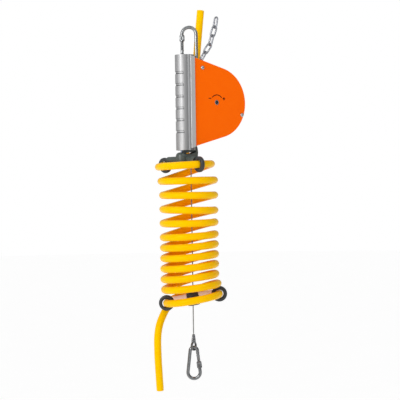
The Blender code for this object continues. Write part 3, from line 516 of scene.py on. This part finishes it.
def coil_point(angle):
    """The hose's centre line, by its angle seen from above, which is 90 degrees straight behind."""
    stops = [z for pair in coil_side_heights() for z in pair]
    place = (angle - COIL_LEFT) / math.pi
    before = min(max(math.floor(place), 0), len(stops) - 2)
    part = min(max(place - before, 0.0), 1.0)
    ease = (1 - math.cos(math.pi * part)) / 2
    z = stops[before] * (1 - ease) + stops[before + 1] * ease
    if place < 0:  # before the first left side
        part = (angle - math.pi / 2) / (COIL_LEFT - math.pi / 2)
        z = CLAMP_Z + (stops[0] - CLAMP_Z) * (1 - math.cos(math.pi * part)) / 2
    turns = (angle - math.pi / 2) / (2 * math.pi)
    moved = max(0.0, turns - SHIFT_START) / SHIFT_TURNS
    shift = min(COIL_SHIFT * (1 - moved), COIL_MIDDLE)
    shift *= min(1.0, max(0.0, COIL_TURNS - 1 - turns))  # back to the middle over the last turn
    last = min(max(0.0, turns - COIL_TURNS + 2), 1.0)
    radius = COIL_RADIUS + 0.001 * max(0.0, 1 - turns) + (RING_ACROSS - COIL_RADIUS) * last
    return Vector((shift + radius * math.cos(angle), radius * math.sin(angle), z))


def coil_run(first, last, step_degrees=13.0):
    count = round(math.degrees(last - first) / step_degrees)
    return [coil_point(first + (last - first) * i / count) for i in range(count + 1)]


def nearest(path, point):
    return min(range(len(path)), key=lambda i: (path[i] - point).length_squared)


def inward_painted_shade(centre, outward):
    """How far a side of the coiled hose faces the coil's inside, where painted shade makes its
    colour deeper.
    """
    if not COIL_LOW < centre.z < CLAMP_Z + HOSE_RADIUS:
        return 0.0
    to_axis = Vector((-centre.x, -centre.y, 0.0)).normalized()
    return max(0.0, outward.dot(to_axis))


def hose_piece(name, path, body, stands_for):
    """One length of hose whose far end is cut square and shows its bore."""
    way = (path[-1] - path[-2]).normalized()
    path = path[:-1] + [path[-1] - way * END_STEP, path[-1]]
    sizes = [HOSE_RADIUS] * (len(path) - 1) + [HOSE_RADIUS - END_CHAMFER]
    stations = list(zip(range(len(path)), sizes))
    stations += [(len(path) - 1, HOSE_BORE), (len(path) - BORE_POINTS, HOSE_BORE)]
    across, travel = crossings(path), lengths_along(path)
    rings = [[path[i] + across[i][0] * x + across[i][1] * y for x, y in circle(size, HOSE_SIDES)]
             for i, size in stations]
    bm = bmesh.new()
    skin(bm, rings)
    hose = piece(name, bm, "hose_yellow", body, stands_for)
    spots = [(travel[i], x, y) for i, size in stations for x, y in circle(size, HOSE_SIDES)]
    way_along = hose.data.attributes.new("hose_way", "FLOAT_VECTOR", "POINT")
    way_along.data.foreach_set("vector", [value for spot in spots for value in spot])
    # painted shade: how far each side faces the coil's inside
    inner = [inward_painted_shade(path[i], across[i][0] * x + across[i][1] * y)
             for i, size in stations for x, y in circle(1.0, HOSE_SIDES)]
    hose.data.attributes.new("hose_painted_shade", "FLOAT", "POINT").data.foreach_set("value", inner)
    return hose, path, [spot[0] for spot in spots]


def make_hose():
    """The hose is one length; it is split where the rear clamp hides it, because the part above
    rides with the housing and the coil below is a piece of its own on no body."""
    last_turn = 2 * math.pi * (COIL_TURNS - 1)
    tail = [ACROSS * s + DEPTH * d + UP * z for s, d, z in TAIL_ROUTE]
    controls = INLET_ROUTE + coil_run(REAR_CLAMP, last_turn + math.radians(340)) + tail
    route = smooth_route(controls, HOSE_STEP)
    clamp = coil_point(REAR_CLAMP)
    split = nearest(route, clamp)

    feed = route[split::-1]
    feed[0] = feed[0] + (feed[1] - feed[0]).normalized() * GAP / 2
    hose, path, _ = hose_piece("hose_feed", feed, "housing", ["hose_inlet"])

    coil = route[split:]
    coil[0] = coil[0] + (coil[1] - coil[0]).normalized() * GAP / 2
    hose, path, travels = hose_piece("hose_spiral", coil, None, ["hose_coil", "hose_outlet"])
    travel = lengths_along(path)
    start = travel[nearest(path, coil_point(FRONT_CLAMP + CLEAR_ANGLE))]
    end = travel[nearest(path, coil_point(last_turn + COIL_LEFT - CLEAR_ANGLE))]
    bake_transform(hose)


# ---------------------------------------------------------------- steel cable

STRANDS, STRAND_SIDES, LAY_LENGTH = 6, 7, 0.0085


def rope_mesh(start, end, radius):
    """Six strands laid round a core, straight from start to end."""
    bm = bmesh.new()
    start, end = Vector(start), Vector(end)
    length = (end - start).length
    place = along(start, end - start)
    steps = round(length / LAY_LENGTH * 10)
    strand = radius * 0.37
    for k in range(STRANDS):
        path = []
        for i in range(steps + 1):
            turn = 2 * math.pi * (k / STRANDS + length * i / steps / LAY_LENGTH)
            offset = radius - strand
            path.append(place @ Vector((offset * math.cos(turn), offset * math.sin(turn),
                                        length * i / steps)))
        skin(bm, tube_rings(path, strand, STRAND_SIDES))
    core = [place @ Vector((0, 0, length * i)) for i in (0.0, 0.25, 0.5, 0.75, 1.0)]
    skin(bm, tube_rings(core, radius * 0.35, STRAND_SIDES))
    return bm


def cable_ends(node):
    """A straight cable's two ends and its radius, from its CAD node."""
    centre, ways, half = measured(node)
    reach = ways[0] * half[0] * (1 if ways[0].z > 0 else -1)
    return centre + reach, centre - reach, half[2]


def make_cable():
    top, low, radius = cable_ends("cable_drop")
    drop = piece("cable_strands", rope_mesh(top, low, radius), "steel_cable", None, ["cable_drop"])
    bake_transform(drop)
    lead = rope_mesh(*cable_ends("cable_lead"))
    piece("cable_lead_strands", lead, "steel_cable", "housing", ["cable_lead"])


# ---------------------------------------------------------------- housing

MARK_RADIUS, MARK_HALF_ANGLE, MARK_WIDE, MARK_THICK = 0.0134, math.radians(50), 0.0015, 0.00012
MARK_SIDE, MARK_RISE, MARK_HALF = 0.0153, 0.0070, 0.0029


def make_marks():
    """The adjuster's arc with a minus and a plus, printed on the front plate."""
    low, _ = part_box("front_cover_plate")
    shaft_low, shaft_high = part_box("adjuster_shaft")
    centre = (shaft_low + shaft_high) / 2
    place = axes((centre.x, low.y, centre.z), (1, 0, 0), (0, 0, 1), (0, -1, 0))
    start, end = math.pi / 2 - MARK_HALF_ANGLE, math.pi / 2 + MARK_HALF_ANGLE
    half = MARK_WIDE / 2
    shapes = [arc((0, 0), MARK_RADIUS + half, start, end, 24)
              + arc((0, 0), MARK_RADIUS - half, end, start, 24)]
    for side, upright in ((-1, False), (1, True)):
        x, y = side * MARK_SIDE, MARK_RISE
        shapes.append(cross(x, y, MARK_HALF, half, upright))
    bm = bmesh.new()
    for shape in shapes:
        prism(bm, shape, 0.0, MARK_THICK, place)
    piece("adjuster_marks", bm, "marks", "housing")


def cross(x, y, reach, half, upright):
    """A minus, or a plus if upright, centred at x, y."""
    if not upright:
        return [(x - reach, y - half), (x + reach, y - half), (x + reach, y + half),
                (x - reach, y + half)]
    corner = [(half, half), (half, reach), (-half, reach), (-half, half)]
    points = []
    for quarter in range(4):
        c, s = math.cos(quarter * math.pi / 2), math.sin(quarter * math.pi / 2)
        points += [(x + c * a - s * b, y + s * a + c * b) for a, b in corner[:3]]
    return points


NOSE_X, NOSE_RADIUS = -0.013, 0.015
GRIP_COUNT, GRIP_TOP, GRIP_PITCH, GRIP_ANGLE = 6, -0.0785, 0.0208, math.radians(57)
GRIP_LINE_LOW, GRIP_LINE_HIGH, GRIP_LINE_DEPTH = -0.0024, -0.0010, 0.0019


def grip_lines():
    """The narrow deep line along the lower edge of each finger groove."""
    start, end = math.pi - GRIP_ANGLE, math.pi + GRIP_ANGLE
    outline = arc((NOSE_X, 0.0), NOSE_RADIUS + 0.001, start, end, 28)
    outline += arc((NOSE_X, 0.0), NOSE_RADIUS - GRIP_LINE_DEPTH, end, start, 28)
    bm = bmesh.new()
    for i in range(GRIP_COUNT):
        middle = GRIP_TOP - GRIP_PITCH * i
        prism(bm, outline, middle + GRIP_LINE_LOW, middle + GRIP_LINE_HIGH, Matrix())
    return bm


def make_housing():
    body = finished("body_extrusion", 0.0)
    carved(body, grip_lines(), sharp=28.0)
    soften(body, 0.0002)
    for node in ("front_cover_plate", "rear_cover_plate", "rim_band"):
        finished(node, 0.00025)
    for node in ("plate_bolt_top", "plate_bolt_side", "plate_nut_top", "plate_nut_side",
                 "bolt_spacer_front", "bolt_spacer_rear", "bracket_screw", "adjuster_shaft",
                 "shaft_snap_ring", "nose_plug", "spring_cover", "mainspring", "cable_drum"):
        finished(node, 0.0002)
    finished("cable_wound", 0.0)
    make_marks()


# ---------------------------------------------------------------- brackets and clamps

def make_ring(node, bore, slack=(0.0, 0.0)):
    """A fat rounded ring; the slack moves its bore sideways and down, where the hose lies loose."""
    centre, ways, half = measured(node)
    axis, outer, wide = ways[2], half[0], half[2]
    place = along(centre, axis)
    if (place.to_3x3() @ Vector((0, 1, 0))).z < 0:
        place = place @ Matrix.Rotation(math.pi, 4, "Z")
    inward = place.inverted().to_3x3() @ (ACROSS * slack[0] + UP * slack[1])
    wall = (outer - bore) / 2
    middle = (outer + bore) / 2
    section = []
    for k in range(24):
        angle = 2 * math.pi * k / 24
        flat = [math.copysign(abs(v) ** 0.6, v) for v in (math.cos(angle), math.sin(angle))]
        section.append((middle + wall * flat[0], wide * flat[1]))
    rings = []
    for k in range(64):
        angle = 2 * math.pi * k / 64
        ring = []
        for radius, height in section:
            loose = (outer - radius) / (outer - bore)
            spot = Vector((radius * math.cos(angle), radius * math.sin(angle), height))
            ring.append(place @ (spot + inward * loose))
        rings.append(ring)
    bm = bmesh.new()
    skin(bm, rings, closed=True)
    piece(node + "_ring", bm, SLOT_OF[node], BODY_OF[node], [node], 60.0)


def make_brackets():
    finished("upper_bracket", 0.0012, 3)
    finished("lower_bar", 0.0006, 3)
    for node in ("lower_hub_cap", "lower_hub_base"):
        finished(node, 0.0006, 3)
    for node in ("hub_screw_left", "hub_screw_right"):
        finished(node, 0.0002)
    for node in ("upper_clamp_front", "upper_clamp_rear", "lower_clamp_right"):
        make_ring(node, 0.0073)
    make_ring("lower_clamp_left", 0.0074, (-0.0005, -0.0005))


# ---------------------------------------------------------------- hooks

ROD = 0.003  # radius of the hooks' wire
ROD_SIDES = 28
TONGUE_HALF, FORK_HALF, PIN_HOLE = 0.0013, 0.0016, 0.0011
FORK_REACH = 0.006
THREAD_PITCH, THREAD_DEPTH, THREAD_LOW = 0.0013, 0.0005, 0.005
KNURLS, KNURL_DEPTH = 30, 0.00035
# radius and Z of the bend at the gate's free end, the same at its hinge, the gate's side,
# how far the body reaches down from the free end's bend, the pin's height above the hinge bend
HOOKS = {
    "top": (0.0125, -0.0095, 0.0125, -0.0485, -1, 0.0006, 0.0055),
    "tool": (0.0109, -0.6109, 0.0065, -0.5725, 1, 0.0058, 0.0045),
}


def make_hook(prefix):
    """A wire body with a tongue, and a threaded gate that forks over the tongue's pin."""
    look = "hook_zinc" if prefix == "top" else "tool_zinc"
    tip, tip_z, hinge, hinge_z, side, nose, hinge_up = HOOKS[prefix]
    up = 1 if tip_z > hinge_z else -1
    lean = math.asin((tip - hinge) / abs(tip_z - hinge_z))

    def bend(at_tip, turn):
        radius, z, outward = (tip, tip_z, up) if at_tip else (hinge, hinge_z, -up)
        start = -lean if at_tip else lean
        angle = start + turn * (math.pi - 2 * start)
        return (ACROSS * (radius * math.cos(angle) * side)
                + UP * (z + outward * radius * math.sin(angle)))

    foot, top = bend(False, 0.0), bend(True, 0.0)
    rise = (top - foot).normalized()
    pin_at, nose_end = foot + rise * hinge_up, top - rise * nose
    inward = rise.cross(DEPTH).normalized()
    pin_place = axes(pin_at, inward, rise, inward.cross(rise))

    steps = 40
    path = [nose_end]
    path += [bend(True, i / steps) for i in range(0 if nose > 0.001 else 1, steps + 1)]
    path += [bend(False, 1 - i / steps) for i in range(steps + 1)]
    path += [pin_at - rise * (ROD + 0.0005)]
    bm = bmesh.new()
    skin(bm, swept(path, circle(ROD, ROD_SIDES), DEPTH))
    body = piece(prefix + "_hook_wire", bm, look, None, [prefix + "_hook_body"], 50.0)
    eye, base = ROD - 0.0001, -ROD - 0.002
    tongue = bmesh.new()
    prism(tongue, arc((0, 0), eye, 0, math.pi, 20) + [(-eye, base), (eye, base)],
          -TONGUE_HALF, TONGUE_HALF, pin_place)
    carved(body, tongue, "UNION", 45.0)
    carved(body, pin_hole(pin_place), sharp=45.0)
    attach(body, BODY_OF[prefix + "_hook_body"])

    length = (nose_end - pin_at).length - GAP
    bm = bmesh.new()
    turned(bm, gate_stations(length), along(pin_at, rise), 32)
    gate = piece(prefix + "_gate_threaded", bm, look, None, [prefix + "_gate"], 50.0)
    fork = bmesh.new()
    wide, high = FORK_REACH, ROD + 0.0005
    prism(fork, [(-wide, -wide), (wide, -wide), (wide, high), (-wide, high)],
          -FORK_HALF, FORK_HALF, pin_place)
    carved(gate, fork, sharp=50.0)
    carved(gate, pin_hole(pin_place), sharp=50.0)
    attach(gate, BODY_OF[prefix + "_gate"])
    finished(prefix + "_gate_pin", 0.0001)
    make_sleeve(prefix + "_sleeve", look)


def pin_hole(place):
    hole = bmesh.new()
    turned(hole, [(-0.005, PIN_HOLE), (0.005, PIN_HOLE)], place, 24)
    return hole


def gate_stations(length):
    """The gate's rounded heel, plain neck and screw thread, as (height, radius)."""
    stations = [(-ROD * math.cos(a), ROD * max(math.sin(a), 0.05))
                for a in (0.0, 0.35, 0.7, 1.05, 1.4)]
    thread_high = length - 0.0012
    fine = THREAD_PITCH / 8
    count = round((thread_high - THREAD_LOW) / fine)
    for i in range(count + 1):
        height = THREAD_LOW + (thread_high - THREAD_LOW) * i / count
        ends = min(1.0, i / 8, (count - i) / 8)
        stations.append((height, lambda angle, h=height, e=ends: thread(angle, h, e)))
    return stations + [(length - 0.0003, ROD), (length, ROD - 0.0003)]


def thread(angle, height, full):
    phase = (height / THREAD_PITCH - angle / (2 * math.pi)) % 1.0
    return ROD - full * THREAD_DEPTH * (1 - abs(2 * phase - 1)) ** 0.8


def make_sleeve(node, look):
    """The threaded sleeve: knurled along its middle, with smooth chamfered ends."""
    centre, ways, half = measured(node)
    reach, grip, bore = half[0], half[1], ROD + GAP
    collar, chamfer, rows = 0.0016, 0.0007, 12
    stations = [(-reach, bore), (-reach, grip - chamfer), (-reach + chamfer, grip)]
    for i in range(rows + 1):
        height = (reach - collar) * (2 * i / rows - 1)
        full = min(1.0, i / 1.5, (rows - i) / 1.5)
        stations.append((height, lambda angle, e=full: grip - e * KNURL_DEPTH
                         * (0.5 - 0.5 * math.cos(KNURLS * angle)) ** 0.7))
    stations += [(reach - chamfer, grip), (reach, grip - chamfer), (reach, bore)]
    bm = bmesh.new()
    turned(bm, stations, along(centre, ways[0]), KNURLS * 6, closed=True)
    piece(node + "_knurled", bm, look, BODY_OF[node], [node], 40.0)


# ---------------------------------------------------------------- chain

WELD_SWELL, WELD_REACH = 0.12, 1.2  # the second is in wire radii


def make_link(node):
    """A round-wire link with the swelling of its weld on one side."""
    centre, (long_way, wide_way, flat_way), (long_half, wide_half, wire) = measured(node)
    bend = wide_half - wire
    straight = long_half - wire - bend
    outline = arc((0, straight), bend, 0, math.pi, 20)
    outline += [(-bend, straight * (1 - i / 4)) for i in range(1, 8)]
    outline += arc((0, -straight), bend, math.pi, 2 * math.pi, 20)
    outline += [(bend, straight * (i / 4 - 1)) for i in range(1, 8)]
    path = [centre + wide_way * x + long_way * y for x, y in outline]
    weld = Vector((-bend, 0.0))

    def swell(i):
        near = (Vector(outline[i]) - weld).length / (WELD_REACH * wire)
        return 1 + WELD_SWELL * math.exp(-near * near)

    bm = bmesh.new()
    skin(bm, swept(path, circle(wire, 18), flat_way, closed=True, swell=swell), closed=True)
    piece(node + "_welded", bm, "chain_zinc", BODY_OF[node], [node], 60.0)


# ---------------------------------------------------------------- thimble and ferrule

THIMBLE_TURN = math.radians(60)  # the thimble's plane, from ACROSS
THIMBLE_BEND, THIMBLE_Z, THIMBLE_TIP_Z = 0.0068, -0.5639, -0.5538
CHANNEL_HALF, CHANNEL_WALL, CHANNEL_LIP = 0.0019, 0.00045, 0.0011
CHANNEL_BED = -0.0010
EYE_RADIUS, EYE_OUT = 0.00092, 0.00055  # of the cable's eye, and how far it lies outside the loop
FERRULE_TOP, FERRULE_LOW = -0.5430, -0.5566
FERRULE_WIDE, FERRULE_THICK = 0.0034, 0.0025  # half sizes at the top
FERRULE_WIDER, FERRULE_THICKER = 0.0022, 0.0009  # and how much they grow
FERRULE_ROWS, FERRULE_SIDES, FERRULE_CRIMPS = 36, 40, 3


def thimble_place():
    wide = ACROSS * math.cos(THIMBLE_TURN) + DEPTH * math.sin(THIMBLE_TURN)
    return axes((0, 0, 0), wide, UP, wide.cross(UP))


def thimble_path(grow):
    """The pear-shaped loop, moved outward by grow."""
    reach, bend = THIMBLE_TIP_Z - THIMBLE_Z, THIMBLE_BEND + grow
    lean = math.acos(THIMBLE_BEND / reach)
    loop = arc((0, THIMBLE_Z), bend, math.pi / 2 + lean, 2 * math.pi + math.pi / 2 - lean, 48)
    tip = (0.0, THIMBLE_Z + bend / math.cos(lean))
    straight = [[(a[0] + (b[0] - a[0]) * i / 6, a[1] + (b[1] - a[1]) * i / 6) for i in range(1, 6)]
                for a, b in ((loop[-1], tip), (tip, loop[0]))]
    outline = loop + straight[0] + [tip] + straight[1]
    place = thimble_place()
    return [place @ Vector((x, y, 0)) for x, y in outline]


def make_thimble():
    """A grooved loop, and the cable's eye lying in its groove."""
    side = thimble_place().to_3x3() @ Vector((0, 0, 1))
    out, inner = CHANNEL_LIP, CHANNEL_BED
    half, wall = CHANNEL_HALF, CHANNEL_WALL
    channel = [(out, half), (inner + 0.0004, half), (inner, half - 0.0005), (inner, -half + 0.0005),
               (inner + 0.0004, -half), (out, -half), (out, -half + wall),
               (inner + wall + 0.0003, -half + wall), (inner + wall, 0.0),
               (inner + wall + 0.0003, half - wall), (out, half - wall)]
    bm = bmesh.new()
    skin(bm, swept(thimble_path(0.0), channel, side, closed=True), closed=True)
    piece("thimble_channel", bm, "tool_zinc", "carriage", ["thimble"], 50.0)

    path = thimble_path(EYE_OUT)
    strand = EYE_RADIUS * 0.42
    travel = lengths_along(path + path[:1])
    turns = round(travel[-1] / LAY_LENGTH)
    fine = smooth_route(path + path[:1], 0.0008)
    travel = lengths_along(fine)
    bm = bmesh.new()
    frames = crossings(fine)
    for k in range(STRANDS):
        line = []
        for point, (n, b), s in zip(fine, frames, travel):
            turn = 2 * math.pi * (k / STRANDS + turns * s / travel[-1])
            line.append(point + (n * math.cos(turn) + b * math.sin(turn)) * (EYE_RADIUS - strand))
        skin(bm, tube_rings(line, strand, STRAND_SIDES))
    piece("cable_eye", bm, "steel_cable", "carriage")


def make_ferrule():
    """A pressed sleeve that widens over the two legs of the eye, with shallow crimp grooves."""
    place = thimble_place()
    rings = []
    for i in range(FERRULE_ROWS + 1):
        part = i / FERRULE_ROWS
        z = FERRULE_TOP + (FERRULE_LOW - FERRULE_TOP) * part
        ease = part * part * (3 - 2 * part)
        wide = FERRULE_WIDE + FERRULE_WIDER * ease
        thick = FERRULE_THICK + FERRULE_THICKER * ease
        rim = min(part, 1 - part) * FERRULE_ROWS
        crimp = math.cos(2 * math.pi * (FERRULE_CRIMPS * part - 0.5))
        press = 1 - 0.07 * max(0.0, crimp) ** 3
        press *= 1 - 0.12 * max(0.0, 1 - rim / 2)
        rings.append([place @ Vector((wide * press * x, z, thick * press * y))
                      for x, y in circle(1.0, FERRULE_SIDES)])
    bm = bmesh.new()
    skin(bm, rings)
    piece("cable_ferrule_pressed", bm, "tool_zinc", "carriage", ["cable_ferrule"], 45.0)


# ---------------------------------------------------------------- stage and light

FLOOR_Z, FLOOR_RADIUS, FLOOR_SIDES, FLOOR_GLOW = -2.3, 30.0, 96, 0.62
BACKDROP_SEEN, BACKDROP_LIT = 1.0, 0.42
WHITE = (1.0, 1.0, 1.0, 1.0)
LIGHTS = [  # across, in depth and in Z from the camera's aim, size, power
    ("key", (-1.0, -1.3, 0.5), 1.0, 17.0),
    ("fill", (0.95, -0.95, 1.5), 1.2, 7.5),
    ("top", (-0.5, 0.2, 1.6), 1.2, 5.0),
]


def make_stage():
    bm = bmesh.new()
    edge = [bm.verts.new((x, y, FLOOR_Z)) for x, y in circle(FLOOR_RADIUS, FLOOR_SIDES)]
    bm.faces.new(edge)
    mesh = bpy.data.meshes.new("floor")
    bm.to_mesh(mesh)
    bm.free()
    look = Look("pale_floor", (0.86, 0.86, 0.86), 0.8)
    look.stain(look.noise(0.4), (0.83, 0.83, 0.83), 0.5)
    look.shader.inputs["Emission Color"].default_value = WHITE
    look.shader.inputs["Emission Strength"].default_value = FLOOR_GLOW
    mesh.materials.append(look.done())
    floor = bpy.data.objects.new("floor", mesh)
    bpy.context.scene.collection.objects.link(floor)

    for name, (s, d, z), size, power in LIGHTS:
        data = bpy.data.lights.new(name, "AREA")
        data.shape, data.size, data.energy = "SQUARE", size, power
        light = bpy.data.objects.new(name, data)
        light.location = CAMERA_AIM + ACROSS * s + DEPTH * d + UP * z
        light.rotation_mode = "QUATERNION"
        light.rotation_quaternion = (CAMERA_AIM - light.location).to_track_quat("-Z", "Y")
        bpy.context.scene.collection.objects.link(light)


def make_world():
    """A white backdrop that lights the object more softly than it looks."""
    world = bpy.data.worlds.new("studio")
    world.use_nodes = True
    tree = world.node_tree
    seen, lit = tree.nodes["Background"], tree.nodes.new("ShaderNodeBackground")
    for background, strength in ((seen, BACKDROP_SEEN), (lit, BACKDROP_LIT)):
        background.inputs["Color"].default_value = WHITE
        background.inputs["Strength"].default_value = strength
    rays, mix = tree.nodes.new("ShaderNodeLightPath"), tree.nodes.new("ShaderNodeMixShader")
    tree.links.new(rays.outputs["Is Camera Ray"], mix.inputs["Fac"])
    tree.links.new(lit.outputs["Background"], mix.inputs[1])
    tree.links.new(seen.outputs["Background"], mix.inputs[2])
    tree.links.new(mix.outputs["Shader"], tree.nodes["World Output"].inputs["Surface"])
    bpy.context.scene.world = world
    bpy.context.scene.view_settings.view_transform = "Standard"


# ---------------------------------------------------------------- build

make_camera()
MATERIALS = make_materials()
make_hose()
make_cable()
make_housing()
make_brackets()
for hook in HOOKS:
    make_hook(hook)
for link in sorted(node for node in NODES if node.startswith("chain_link_")):
    make_link(link)
make_thimble()
make_ferrule()
make_stage()
make_world()
